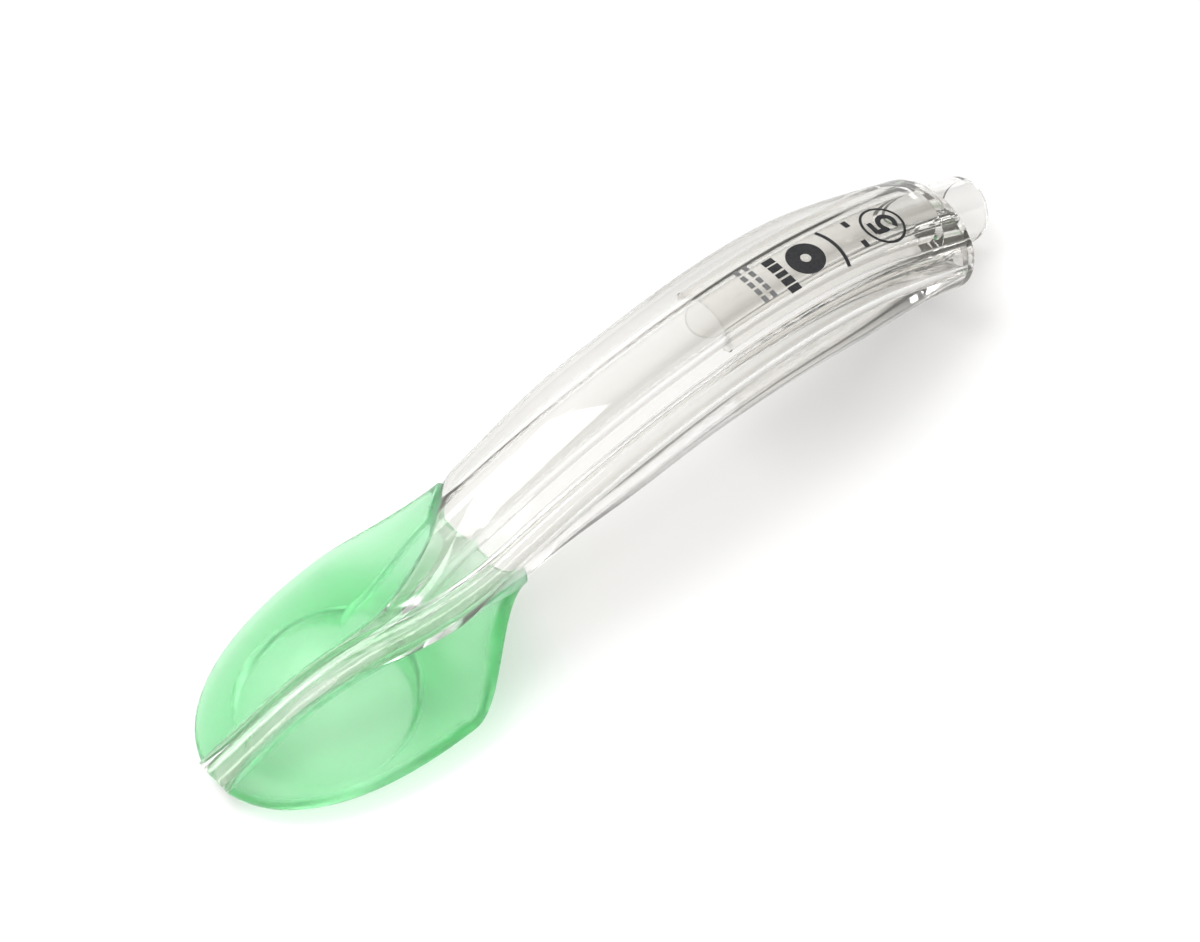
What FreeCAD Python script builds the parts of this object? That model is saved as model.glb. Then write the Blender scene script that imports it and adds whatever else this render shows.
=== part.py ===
import FreeCAD, Part

import math
import os

import Sketcher

from FreeCAD import Placement, Rotation, Vector

# Supraglottic airway of the gel-cuff kind, millimetres, +Z up, resting on its mask and its connector.
# The build frame starts at the tip of the mask: X runs towards the connector, Y across and Z up from
# the plane of the rim. The finished pieces are then laid down and centred by one common placement.

DRIVING_SIZES = [
    ("mask_length", 75.0, "tip to the root of the mask, along the spine"),
    ("shaft_length", 66.0, "root of the mask to the bite block, along the spine"),
    ("bite_length", 62.0, "length of the bite block, along the spine"),
    ("mask_slope", 15.5, "degrees that the spine climbs in the mask"),
    ("shaft_bend", 18.5, "degrees that the shaft turns"),
    ("bite_bend", 25.0, "degrees that the bite block turns"),
    ("tip_height", 4.8, "height of the spine at the tip over the rim plane"),
    ("airway_bore", 12.3, "bore of the breathing tube"),
    ("airway_offset", 3.5, "breathing tube off the middle, away from the drain"),
    ("tube_wall", 1.3, "wall of the rigid tube inside the bite block"),
    ("outlet_bend", 26.0, "degrees that the breathing tube turns down into the bowl"),
    ("outlet_radius", 40.0, "radius of that turn"),
    ("outlet_run", 18.0, "straight run of the breathing tube past that turn"),
    ("cone_tip_diameter", 15.2, "free end of the 15 mm conical connector"),
    ("cone_length", 17.0, "length of the cone beyond the flange"),
    ("cone_ratio", 40.0, "the cone grows 1 mm in this many"),
    ("flange_thickness", 3.0, "end plate of the connector"),
    ("flange_edge", 0.8, "bevel round the end plate"),
    ("drain_bore", 5.6, "bore of the gastric drain"),
    ("drain_offset", 9.2, "drain off the middle in the shaft"),
    ("drain_wall", 1.5, "wall of the drain tube where it runs free to the tip"),
    ("drain_lift", 1.0, "drain above the spine"),
    ("drain_straight", 18.0, "stretch of the drain on the middle line behind the tip"),
    ("wedge_start", 32.0, "tip to where the stem starts to widen out of the drain tube"),
    ("end_width", 30.0, "stem at its end face"),
    ("end_thickness", 21.0, "stem at its end face"),
    ("bite_width", 35.0, "stem at the bite block"),
    ("shaft_width", 33.0, "stem at the middle of the shaft"),
    ("shaft_thickness", 20.0, "stem at the middle of the shaft"),
    ("root_width", 27.0, "stem at the root of the mask"),
    ("root_thickness", 17.6, "stem at the root of the mask"),
    ("mask_width", 53.0, "mask across its heels"),
    ("nose_width", 25.0, "mask just behind its tip"),
    ("heel_place", 48.0, "tip to the widest place of the mask"),
    ("rim_height", 9.0, "thickness of the mask at its nose"),
    ("nose_round", 5.0, "rounding of the nose seen from above"),
    ("mask_collar", 0.6, "mask over the stem at its root"),
    ("crown_drop", 1.0, "stem left bare above the mask at its root"),
    ("valley", 0.8, "how far the mask draws in above its heels, 0 for an ellipse"),
    ("bowl_start", 8.0, "tip to the front of the bowl"),
    ("bowl_end", 51.0, "tip to the back of the bowl"),
    ("bowl_depth", 9.6, "bowl above the rim plane"),
    ("bowl_tilt", 14.0, "degrees that the roof of the bowl rises to the heels"),
    ("rim_wall", 8.0, "width of the rim round the bowl"),
]

# Where the outlines are taken: shares of a stretch, and millimetres behind the nose of the mask.
WEDGE_SHARES = (0.0, 0.2, 0.4, 0.6, 0.8, 1.0)
STRETCH_SHARES = (0.5, 1.0)
WIDEST_SHAFT, WIDEST_BITE = 0.55, 0.4
NOSE_PLACES = (0.15, 0.8, 2.0, 4.5, 9.0, 16.0)
HEEL_SHARES = (0.55, 0.8, 1.0)
ROOT_SHARES = (0.25, 0.5, 0.75, 1.0)

RING_POINTS = 16
NOSE_THICKNESS = 0.25
VALLEY_GROWTH = 0.7
MESH_STEP = 0.05


def ease(share):
    """Smooth step from 0 to 1 for a share that may lie outside them."""
    share = min(max(share, 0.0), 1.0)
    return share * share * (3 - 2 * share)


def bind(rule):
    """Expression of the sheet's cells from a rule that names sizes in square brackets."""
    for alias, _, _ in DRIVING_SIZES:
        rule = rule.replace("[%s]" % alias, "Sizes.%s" % alias)
    return rule


def make_sheet(doc):
    """Put the driving sizes in a spreadsheet, one row each, with the name as alias."""
    sheet = doc.addObject("Spreadsheet::Sheet", "Sizes")
    for row, (alias, value, note) in enumerate(DRIVING_SIZES, start=1):
        sheet.set("A%d" % row, alias.replace("_", " "))
        sheet.set("B%d" % row, str(value))
        sheet.set("C%d" % row, note)
        sheet.setAlias("B%d" % row, alias)
    doc.recompute()
    return sheet


class Spine:
    """Middle line of the airway in the XZ plane: a straight mask, then two arcs, then the connector."""

    def __init__(self, size):
        self.size = size
        self.mask_end = size("mask_length")
        self.shaft_end = self.mask_end + size("shaft_length")
        self.total = self.shaft_end + size("bite_length")
        self.slope = math.radians(size("mask_slope"))
        self.shaft_bend = math.radians(size("shaft_bend"))
        self.bite_bend = math.radians(size("bite_bend"))
        self.shaft_radius = size("shaft_length") / self.shaft_bend
        self.bite_radius = size("bite_length") / self.bite_bend

    def at(self, run):
        """Point and climb angle at a run from the tip, also past the stem's end face."""
        climb = self.slope
        x = min(run, self.mask_end) * math.cos(climb)
        z = self.size("tip_height") + min(run, self.mask_end) * math.sin(climb)
        legs = ((self.mask_end, self.shaft_end, self.shaft_radius),
                (self.shaft_end, self.total, self.bite_radius))
        for start, end, radius in legs:
            turned = max(0.0, min(run, end) - start) / radius
            x += radius * (math.sin(climb) - math.sin(climb - turned))
            z += radius * (math.cos(climb - turned) - math.cos(climb))
            climb -= turned
        beyond = max(0.0, run - self.total)
        return Vector(x + beyond * math.cos(climb), 0, z + beyond * math.sin(climb)), climb

    def frame(self, run, side=0.0, lift=0.0):
        """Placement whose local X is across, local Y is to the back and local Z is towards the connector."""
        point, climb = self.at(run)
        back = Vector(-math.sin(climb), 0, math.cos(climb))
        along = Vector(math.cos(climb), 0, math.sin(climb))
        turned = Rotation(Vector(0, 1, 0), back, along, "ZXY")
        return Placement(point + back * lift + Vector(0, side, 0), turned)


class Airway:
    """Builds the three pieces as objects of one document."""

    def __init__(self):
        self.doc = FreeCAD.newDocument("supraglottic_airway")
        self.sheet = make_sheet(self.doc)
        self.spine = Spine(self.size)
        self.rigid = self.rigid_tube()

    def size(self, alias):
        """Value of one driving size."""
        return float(self.sheet.get(alias))

    def add(self, kind, name, bound=None, **properties):
        """Add an object, set its properties and bind others to the sheet by an expression."""
        thing = self.doc.addObject(kind, name)
        for key, value in properties.items():
            setattr(thing, key, value)
        for key, expression in (bound or {}).items():
            thing.setExpression(key, bind(expression))
        return thing

    def ellipse(self, name, place, half_width, half_thickness):
        """Ellipse across the spine with both half sizes bound to the sheet."""
        return self.add("Part::Ellipse", name, Placement=place,
                        bound={"MajorRadius": half_width, "MinorRadius": half_thickness})

    def circle(self, name, place, radius):
        """Circle across the spine with its radius bound to the sheet."""
        return self.add("Part::Circle", name, Placement=place, bound={"Radius": radius})

    def loft(self, name, sections):
        """Closed smooth solid through a row of sections."""
        return self.add("Part::Loft", name, Sections=sections, Solid=True, Ruled=False)

    def cut(self, name, base, *tools):
        """Base without its tools."""
        for index, tool in enumerate(tools):
            label = name if index == len(tools) - 1 else "%s_cut_%d" % (name, index)
            base = self.add("Part::Cut", label, Base=base, Tool=tool, Refine=False)
        return base

    def fuse(self, name, *parts):
        """All parts as one solid."""
        return self.add("Part::MultiFuse", name, Shapes=list(parts), Refine=False)

    def path(self, name, side, legs, lift=0.0, lift_rule="0"):
        """Sketch of tangent arcs and a straight run in an upright plane, from the end face to the tip.

        Each leg is (length, bend, length rule, bend rule); a bend of None is a straight run.
        """
        sketch = self.add("Sketcher::SketchObject", name,
                          Placement=Placement(Vector(0, side, 0), Rotation(Vector(1, 0, 0), 90)))
        _, climb = self.spine.at(self.spine.total)
        start = self.spine.frame(self.spine.total, side, lift).Base
        point = Vector(start.x, start.z, 0)
        for index, (length, bend, length_rule, bend_rule) in enumerate(legs):
            if bend is None:
                after = point - Vector(math.cos(climb), math.sin(climb), 0) * length
                sketch.addGeometry(Part.LineSegment(point, after), False)
                self.drive(sketch, Sketcher.Constraint("Distance", index, length), length_rule)
            else:
                turn = math.radians(bend)
                radius = length / turn + lift
                inward = Vector(math.sin(climb), -math.cos(climb), 0)
                centre = point + inward * radius
                angle = math.atan2(-inward.y, -inward.x)
                circle = Part.Circle(centre, Vector(0, 0, 1), radius)
                sketch.addGeometry(Part.ArcOfCircle(circle, angle, angle + turn), False)
                radius_rule = "%s / (%s * pi / 180) + %s" % (length_rule, bend_rule, lift_rule)
                self.drive(sketch, Sketcher.Constraint("Radius", index, radius), radius_rule)
                self.drive(sketch, Sketcher.Constraint("Angle", index, turn), bend_rule + " * 1 deg")
                climb += turn
                after = centre + Vector(math.cos(angle + turn), math.sin(angle + turn), 0) * radius
            if index:
                sketch.addConstraint(Sketcher.Constraint("Tangent", index - 1, 2, index, 1))
            else:
                self.hold_start(sketch)
            point = after
        return sketch

    def drive(self, sketch, constraint, rule):
        """Add a dimension to a sketch and bind it to the sheet."""
        number = sketch.addConstraint(constraint)
        sketch.setExpression("Constraints[%d]" % number, bind(rule))

    def hold_start(self, sketch):
        """Fix where a sketch starts, as its first edge is drawn."""
        first = sketch.getPoint(0, 1)
        sketch.addConstraint(Sketcher.Constraint("DistanceX", 0, 1, first.x))
        sketch.addConstraint(Sketcher.Constraint("DistanceY", 0, 1, first.y))

    def sweep(self, name, path, mouth, count):
        """Solid of a closed curve carried along the edges of a path."""
        self.doc.recompute()
        edges = ["Edge%d" % number for number in range(1, count + 1)]
        return self.add("Part::Sweep", name, Sections=[mouth], Spine=(path, edges), Solid=True, Frenet=False)

    def core(self, name, side, diameter_rule, legs, ahead, lift=0.0, lift_rule="0"):
        """Round bore from the end face along its legs, and straight out through the connector."""
        place = self.spine.frame(self.spine.total, side, lift)
        path = self.path(name + "_path", side, legs, lift, lift_rule)
        mouth = self.circle(name + "_mouth", place, diameter_rule + " / 2")
        curved = self.sweep(name + "_curved", path, mouth, len(legs))
        if ahead is None:
            return curved
        straight = self.add("Part::Cylinder", name + "_straight", Placement=place,
                            bound={"Radius": diameter_rule + " / 2", "Height": ahead})
        return self.fuse(name, straight, curved)

    def bend_legs(self):
        """Legs of the bite block and the shaft, which every bore follows."""
        return [(self.size("bite_length"), self.size("bite_bend"), "[bite_length]", "[bite_bend]"),
                (self.size("shaft_length"), self.size("shaft_bend"), "[shaft_length]", "[shaft_bend]")]

    def drain_crossing(self):
        """Length, turn and radius of the two equal arcs that bring the drain to the middle."""
        length = self.size("mask_length") - self.size("drain_straight")
        turn = 2 * math.atan(self.size("drain_offset") / length)
        return length, turn, length / 2 / math.sin(turn)

    def drain_side(self, run):
        """How far the drain lies off the middle at a run from the tip."""
        length, _, radius = self.drain_crossing()
        along = min(max(run - self.size("drain_straight"), 0.0), length)
        if along < length / 2:
            return math.sqrt(radius ** 2 - along ** 2) - radius
        return radius - math.sqrt(radius ** 2 - (length - along) ** 2) - self.size("drain_offset")

    def crossing_path(self):
        """Sketch in the slanted plane of the mask's spine: two tangent arcs to the middle, then straight."""
        climb = self.spine.slope
        root = self.spine.frame(self.spine.mask_end, 0.0, self.size("drain_lift")).Base
        ahead = Vector(-math.cos(climb), 0, -math.sin(climb))
        under = Vector(math.sin(climb), 0, -math.cos(climb))
        sketch = self.add("Sketcher::SketchObject", "drain_crossing",
                          Placement=Placement(root, Rotation(ahead, Vector(0, 1, 0), under, "XZY")))
        offset, straight = self.size("drain_offset"), self.size("drain_straight")
        length, turn, radius = self.drain_crossing()
        quarter = math.pi / 2
        first = Part.Circle(Vector(0, radius - offset, 0), Vector(0, 0, 1), radius)
        second = Part.Circle(Vector(length, -radius, 0), Vector(0, 0, 1), radius)
        sketch.addGeometry(Part.ArcOfCircle(first, -quarter, turn - quarter), False)
        self.hold_start(sketch)
        sketch.addGeometry(Part.ArcOfCircle(second, quarter, quarter + turn), False)
        sketch.addGeometry(Part.LineSegment(Vector(length, 0, 0), Vector(length + straight, 0, 0)), False)
        sketch.addConstraint(Sketcher.Constraint("Tangent", 0, 2, 1, 2))
        sketch.addConstraint(Sketcher.Constraint("Tangent", 1, 1, 2, 1))
        turn_rule = "2 * atan([drain_offset] / ([mask_length] - [drain_straight]))"
        radius_rule = "([mask_length] - [drain_straight]) / 2 / sin(%s)" % turn_rule
        for index in (0, 1):
            self.drive(sketch, Sketcher.Constraint("Radius", index, radius), radius_rule)
            self.drive(sketch, Sketcher.Constraint("Angle", index, turn), turn_rule)
        self.drive(sketch, Sketcher.Constraint("Distance", 2, straight), "[drain_straight]")
        return sketch

    def drain_core(self):
        """Bore of the gastric drain from the flange to the tip, crossing to the middle inside the mask."""
        offset, lift = self.size("drain_offset"), self.size("drain_lift")
        behind = self.core("drain_behind", -offset, "[drain_bore]", self.bend_legs(), "[flange_thickness]",
                           lift, "[drain_lift]")
        place = self.spine.frame(self.spine.mask_end, -offset, lift)
        mouth = self.circle("drain_ahead_mouth", place, "[drain_bore] / 2")
        ahead = self.sweep("drain_ahead", self.crossing_path(), mouth, 3)
        return self.fuse("drain_core", behind, ahead)

    def airway_core(self):
        """Bore of the breathing tube, from the free end of the cone down into the bowl."""
        outlet_rule = "([outlet_radius] * [outlet_bend] * pi / 180)"
        outlet_length = self.size("outlet_radius") * math.radians(self.size("outlet_bend"))
        legs = self.bend_legs() + [(outlet_length, self.size("outlet_bend"), outlet_rule, "[outlet_bend]"),
                                   (self.size("outlet_run"), None, "[outlet_run]", None)]
        return self.core("airway_core", self.size("airway_offset"), "[airway_bore]", legs,
                         "[flange_thickness] + [cone_length]")

    def rigid_tube(self):
        """Outside of the rigid tube that lines the bite block."""
        return self.core("rigid_tube", self.size("airway_offset"), "([airway_bore] + 2 * [tube_wall])",
                         self.bend_legs()[:1], None)

    def stem_body(self):
        """Outside of the stem: a drain tube at the tip, a wedge in the mask, then the shaft and the bite block."""
        mask, shaft, bite = (self.size(name) for name in ("mask_length", "shaft_length", "bite_length"))
        tube = "([drain_bore] / 2 + [drain_wall])"
        root = ("([root_width] / 2)", "([root_thickness] / 2)")
        middle = ("([shaft_width] / 2)", "([shaft_thickness] / 2)")
        block = ("([bite_width] / 2)", "([end_thickness] / 2)")
        end = ("([end_width] / 2)", "([end_thickness] / 2)")
        lift, wedge = self.size("drain_lift"), self.size("wedge_start")
        rows = []
        for share in WEDGE_SHARES:
            run = mask * share
            wide = max(0.0, (run - wedge) / (mask - wedge)) ** 2
            rows.append((run, self.drain_side(run) * (1 - wide), lift * (1 - wide), (tube, tube), root, wide))
        shaft_widest, bite_widest = mask + shaft * WIDEST_SHAFT, mask + shaft + bite * WIDEST_BITE
        stretches = ((mask, shaft_widest, root, middle), (shaft_widest, bite_widest, middle, block),
                     (bite_widest, self.spine.total, block, end))
        for start, finish, low, high in stretches:
            for share in STRETCH_SHARES:
                rows.append((start + (finish - start) * share, 0, 0, low, high, ease(share)))
        sections = []
        for index, (run, side, lift, low, high, share) in enumerate(rows):
            rules = ["%s * %.4f + %s * %.4f" % (a, 1 - share, b, share) for a, b in zip(low, high)]
            place = self.spine.frame(run, side, lift)
            sections.append(self.ellipse("stem_section_%d" % index, place, *rules))
        return self.loft("stem_body", sections)

    def mask_section(self, x):
        """Closed curve of the mask across X, an ellipse that draws in towards its crown."""
        heel = self.size("heel_place")
        root, _ = self.spine.at(self.size("mask_length"))
        nose_half, heel_half = self.size("nose_width") / 2, self.size("mask_width") / 2
        root_half = self.size("root_width") / 2 + self.size("mask_collar")
        back = ease((x - heel) / (root.x - heel))
        flare = nose_half + (heel_half - nose_half) * min(x / heel, 1.0)
        ahead = max(0.0, 1 - x / self.size("nose_round"))
        nose = math.sqrt(1 - ahead ** 2)
        half_width = (flare * (1 - back) + root_half * back) * nose
        stem_half = self.size("root_thickness") / 2
        low_part = self.size("rim_height") - self.size("tip_height")
        spine_z = self.size("tip_height") + x * math.tan(self.spine.slope)
        crown = spine_z + low_part * (1 - back) + (stem_half - self.size("crown_drop")) * back
        floor = (root.z - stem_half - self.size("mask_collar")) * back
        middle = (crown + floor) / 2
        half_height = (crown - floor) / 2 * (NOSE_THICKNESS + (1 - NOSE_THICKNESS) * nose)
        lean = self.size("valley") * min(x / heel, 1.0) ** VALLEY_GROWTH * (1 - back)
        shares = [index / RING_POINTS for index in range(RING_POINTS + 1)]
        turns = [2 * math.pi * share for share in shares[:-1]]
        across = [math.cos(turn) * (1 - lean * math.sin(turn)) for turn in turns]
        widest = max(across)
        points = [Vector(x, half_width * y / widest, middle + half_height * math.sin(turn))
                  for y, turn in zip(across, turns)]
        curve = Part.BSplineCurve()
        curve.interpolate(Points=points, PeriodicFlag=True, Parameters=shares)
        return Part.Wire([curve.toShape()])

    def mask_body(self):
        """Outside of the gel mask, lofted from its nose over its heels to its root."""
        root, _ = self.spine.at(self.size("mask_length"))
        heel = self.size("heel_place")
        places = list(NOSE_PLACES)
        places += [heel * share for share in HEEL_SHARES]
        places += [heel + (root.x - heel) * share for share in ROOT_SHARES]
        wires = []
        for index, x in enumerate(places):
            wire = self.add("Part::Feature", "mask_section_%d" % index)
            wire.Shape = self.mask_section(x)
            wires.append(wire)
        return self.loft("mask_body", wires)

    def bowl(self):
        """Hollow of the mask, an ellipsoid sunk into the rim plane and tilted up to the heels."""
        centre = (self.size("bowl_start") + self.size("bowl_end")) / 2
        place = Placement(Vector(centre, 0, 0), Rotation(Vector(0, 1, 0), -self.size("bowl_tilt")))
        return self.add("Part::Ellipsoid", "bowl", Placement=place, Angle1=-90, Angle2=90, Angle3=360,
                        bound={"Radius1": "[bowl_depth]", "Radius2": "([bowl_end] - [bowl_start]) / 2",
                               "Radius3": "[mask_width] / 2 - [rim_wall]"})

    def connector_body(self):
        """Outside of the connector: an end plate on the stem's face and a cone that stands on it."""
        face = self.spine.frame(self.spine.total)
        outline = self.ellipse("flange_outline", face, "[end_width] / 2", "[end_thickness] / 2")
        plate = self.add("Part::Extrusion", "flange_plate", Base=outline, Solid=True, DirMode="Normal",
                         bound={"LengthFwd": "[flange_thickness]"})
        self.doc.recompute()
        outer = [index for index, edge in enumerate(plate.Shape.Edges, start=1)
                 if edge.Length > self.size("end_width")
                 and face.inverse().multVec(edge.CenterOfMass).z > self.size("flange_thickness") / 2]
        bevel = self.size("flange_edge")
        bevelled = self.add("Part::Chamfer", "flange", Base=plate)
        bevelled.Edges = [(index, bevel, bevel) for index in outer]
        height = "([cone_length] + [flange_thickness])"
        place = self.spine.frame(self.spine.total, self.size("airway_offset"))
        cone = self.add("Part::Cone", "cone", Placement=place,
                        bound={"Radius1": "[cone_tip_diameter] / 2 + %s / [cone_ratio] / 2" % height,
                               "Radius2": "[cone_tip_diameter] / 2", "Height": height})
        return self.fuse("connector_body", bevelled, cone, self.rigid)


def resting_place(shapes):
    """Placement that lays the shapes on the table and puts the middle of their base at the origin.

    The lower edge of the side view's convex outline that lies under the centre of mass is what the
    airway rests on: one end is the mask's rim and the other is the rim of the connector.
    """
    points = [point for shape in shapes for point in shape.tessellate(MESH_STEP)[0]]
    weight = sum(shape.Volume for shape in shapes)
    centre = sum((shape.CenterOfGravity * (shape.Volume / weight) for shape in shapes), Vector(0, 0, 0))
    outline = []
    for point in sorted(points, key=lambda p: (p.x, p.z)):
        while len(outline) > 1:
            first, second = outline[-2], outline[-1]
            if (second.x - first.x) * (point.z - first.z) > (second.z - first.z) * (point.x - first.x):
                break
            outline.pop()
        outline.append(point)
    left, right = next(pair for pair in zip(outline[:-1], outline[1:]) if pair[0].x <= centre.x <= pair[1].x)
    pitch = Rotation(Vector(0, 1, 0), math.degrees(math.atan2(right.z - left.z, right.x - left.x)))
    turned = [pitch.multVec(point) for point in points]
    middle = [(max(values) + min(values)) / 2 for values in ([p.x for p in turned], [p.y for p in turned])]
    return Placement(Vector(-middle[0], -middle[1], -min(point.z for point in turned)), pitch)


def main():
    """Build the pieces, check them, lay them down and write them."""
    model = Airway()
    airway, drain = model.airway_core(), model.drain_core()
    stem, mask, bowl = model.stem_body(), model.mask_body(), model.bowl()
    pieces = {
        "connector_tube": model.cut("connector_tube", model.connector_body(), airway, drain),
        "airway_stem": model.cut("airway_stem", stem, model.rigid, airway, drain, bowl),
        "mask_cuff": model.cut("mask_cuff", mask, stem, airway, bowl),
    }
    model.doc.recompute()
    for thing in model.doc.Objects:
        if {"Invalid", "Error"} & set(thing.State):
            raise RuntimeError("%s is %s" % (thing.Name, thing.State))
    rest = resting_place([piece.Shape for piece in pieces.values()])
    for name, piece in pieces.items():
        piece.Label = name
        piece.Placement = rest
    os.makedirs("parts", exist_ok=True)
    for name, piece in pieces.items():
        shape = piece.Shape
        if shape.isNull() or not shape.isValid() or len(shape.Solids) != 1:
            raise RuntimeError("%s is not one valid solid" % name)
        print(name, "volume", round(shape.Volume, 1))
        shape.exportStep("parts/%s.step" % name)
    print("rest", rest)


main()
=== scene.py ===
"""A clear supraglottic airway with a green gel mask, lying on a pale studio floor."""
import logging
import math
from dataclasses import dataclass
from enum import Enum

import bmesh
import bpy
import numpy as np
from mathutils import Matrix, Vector


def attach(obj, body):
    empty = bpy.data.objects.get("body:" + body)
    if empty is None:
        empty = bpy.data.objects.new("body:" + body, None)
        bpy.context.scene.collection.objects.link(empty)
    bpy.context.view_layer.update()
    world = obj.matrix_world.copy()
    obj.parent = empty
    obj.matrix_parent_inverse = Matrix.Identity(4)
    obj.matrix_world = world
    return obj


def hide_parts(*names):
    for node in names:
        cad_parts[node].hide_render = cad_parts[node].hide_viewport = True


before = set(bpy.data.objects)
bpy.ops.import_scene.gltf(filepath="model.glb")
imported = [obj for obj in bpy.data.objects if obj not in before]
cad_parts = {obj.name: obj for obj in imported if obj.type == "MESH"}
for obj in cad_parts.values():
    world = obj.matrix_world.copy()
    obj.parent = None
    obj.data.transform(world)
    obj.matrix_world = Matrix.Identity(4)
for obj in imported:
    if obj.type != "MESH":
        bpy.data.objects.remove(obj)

log = logging.getLogger("airway")

BODY = "root"
ACROSS = np.array([0.0, 1.0, 0.0])
RING_POINTS = 96
WHITE = (1.0, 1.0, 1.0, 1.0)
COARSE = 2.0
FINE = 3.0
SMOOTH_BELOW = math.radians(38)


class Slot(Enum):
    """Kinds of finish for the pieces; place takes one but does not use it."""

    STEM = "clear_elastomer"
    RIGID = "clear_rigid"
    GEL = "green_gel"
    INK = "print_ink"


def ease(share: np.ndarray) -> np.ndarray:
    """Smooth step from 0 to 1: share squared times three less twice the share."""
    share = np.clip(share, 0.0, 1.0)
    return share * share * (3 - 2 * share)


def turns(count: int) -> np.ndarray:
    """Angles of a closed ring, evenly spaced from 0."""
    return np.linspace(0.0, 2 * math.pi, count, endpoint=False)


@dataclass(frozen=True)
class Spine:
    """Middle line of the airway: a straight mask, then two arcs, then the connector, in metres."""

    mask_length: float = 0.075
    shaft_length: float = 0.066
    bite_length: float = 0.062
    slope: float = math.radians(15.5)
    shaft_bend: float = math.radians(18.5)
    bite_bend: float = math.radians(25.0)
    tip_height: float = 0.0048
    pitch: float = math.radians(-0.135)
    shift: tuple[float, float, float] = (-0.10831, 0.000008, 0.00004)

    @property
    def shaft_end(self) -> float:
        """Run from the tip to the bite block."""
        return self.mask_length + self.shaft_length

    @property
    def total(self) -> float:
        """Run from the tip to the end face of the stem."""
        return self.shaft_end + self.bite_length

    def lay(self, x: np.ndarray, y: np.ndarray, z: np.ndarray) -> np.ndarray:
        """Points of the build frame, pitched and shifted to where the airway rests.

        Args:
            x: distance from the tip. y: across. z: height over the rim plane.
        Returns:
            The points as an array with a last axis of three.
        """
        cos, sin = math.cos(self.pitch), math.sin(self.pitch)
        return np.stack([x * cos + z * sin, y + 0 * x, z * cos - x * sin], -1) + np.array(self.shift)

    def at(self, run: np.ndarray) -> tuple[np.ndarray, np.ndarray]:
        """Points of the spine and its climb at runs from the tip.

        An arc of radius r that turns by a from climb c moves by r (sin c - sin(c - a)) along and by
        r (cos(c - a) - cos c) up.
        Args:
            run: distances along the spine.
        Returns:
            The points and the climb angles, laid to rest.
        """
        run = np.asarray(run, float)
        climb = np.full(run.shape, self.slope)
        x = np.minimum(run, self.mask_length) * math.cos(self.slope)
        z = self.tip_height + np.minimum(run, self.mask_length) * math.sin(self.slope)
        legs = ((self.mask_length, self.shaft_length, self.shaft_bend),
                (self.shaft_end, self.bite_length, self.bite_bend))
        for start, length, bend in legs:
            radius = length / bend
            turned = np.clip(run - start, 0.0, length) / radius
            x = x + radius * (np.sin(climb) - np.sin(climb - turned))
            z = z + radius * (np.cos(climb - turned) - np.cos(climb))
            climb = climb - turned
        beyond = np.maximum(run - self.total, 0.0)
        x = x + beyond * np.cos(climb)
        z = z + beyond * np.sin(climb)
        return self.lay(x, 0 * x, z), climb - self.pitch

    def back(self, climb: np.ndarray) -> np.ndarray:
        """Unit vectors square to the spine, to the upper side."""
        return np.stack([-np.sin(climb), 0 * climb, np.cos(climb)], -1)

    def rings(self, run: np.ndarray, side: np.ndarray, lift: np.ndarray, wide: np.ndarray, thick: np.ndarray,
              count: int = RING_POINTS) -> np.ndarray:
        """Ellipses square to the spine, one at each run.

        Args:
            run: distances along the spine. side, lift: centre off the spine. wide, thick: half sizes.
            count: points in a ring.
        Returns:
            A grid of points, runs by angles.
        """
        centre, climb = self.at(run)
        turn = turns(count)
        run = np.asarray(run, float)
        side, lift, wide, thick = (np.broadcast_to(part, run.shape) for part in (side, lift, wide, thick))
        over = lift[:, None] + thick[:, None] * np.sin(turn)
        aside = side[:, None] + wide[:, None] * np.cos(turn)
        return centre[:, None] + aside[..., None] * ACROSS + over[..., None] * self.back(climb)[:, None]


SPINE = Spine()


def solid(name: str, grid: np.ndarray, looped: bool = False) -> bpy.types.Object:
    """Closed mesh from a grid whose rows are rings, with a fan over each end.

    Args:
        name: the object's name. grid: rings by points by three. looped: whether the last ring joins the
            first, with no fans.
    Returns:
        The object, faces outwards.
    """
    rows, columns = grid.shape[:2]
    index = np.arange(rows * columns).reshape(rows, columns)
    beside = np.roll(index, -1, axis=1)
    quads = np.stack([index[:-1], beside[:-1], beside[1:], index[1:]], -1).reshape(-1, 4)
    ends = rows * columns + np.arange(2)
    fans = [np.stack([index[row], beside[row], np.full(columns, end)], -1) for row, end in zip((0, -1), ends)]
    points = np.concatenate([grid.reshape(-1, 3), [grid[0].mean(0)], [grid[-1].mean(0)]])
    faces = quads.tolist() + np.concatenate(fans).tolist()
    if looped:
        points = grid.reshape(-1, 3)
        last = np.stack([index[-1], beside[-1], beside[0], index[0]], -1)
        faces = np.concatenate([quads, last]).tolist()
    mesh = bpy.data.meshes.new(name)
    mesh.from_pydata(points, [], faces)
    return finish_mesh(link(name, mesh))


def link(name: str, mesh: bpy.types.Mesh) -> bpy.types.Object:
    """New object of a mesh, in the scene."""
    thing = bpy.data.objects.new(name, mesh)
    bpy.context.scene.collection.objects.link(thing)
    return thing


def finish_mesh(thing: bpy.types.Object) -> bpy.types.Object:
    """Turn the faces of a closed mesh outwards and shade it smooth below an angle."""
    mesh = bmesh.new()
    mesh.from_mesh(thing.data)
    bmesh.ops.recalc_face_normals(mesh, faces=mesh.faces)
    mesh.to_mesh(thing.data)
    mesh.free()
    thing.data.shade_smooth()
    thing.data.set_sharp_from_angle(angle=SMOOTH_BELOW)
    return thing


def gather(name: str, parts: list[bpy.types.Object]) -> bpy.types.Object:
    """Put several closed pieces into one object."""
    mesh = bmesh.new()
    for part in parts:
        mesh.from_mesh(part.data)
        bpy.data.objects.remove(part)
    whole = bpy.data.meshes.new(name)
    mesh.to_mesh(whole)
    mesh.free()
    return link(name, whole)


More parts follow.
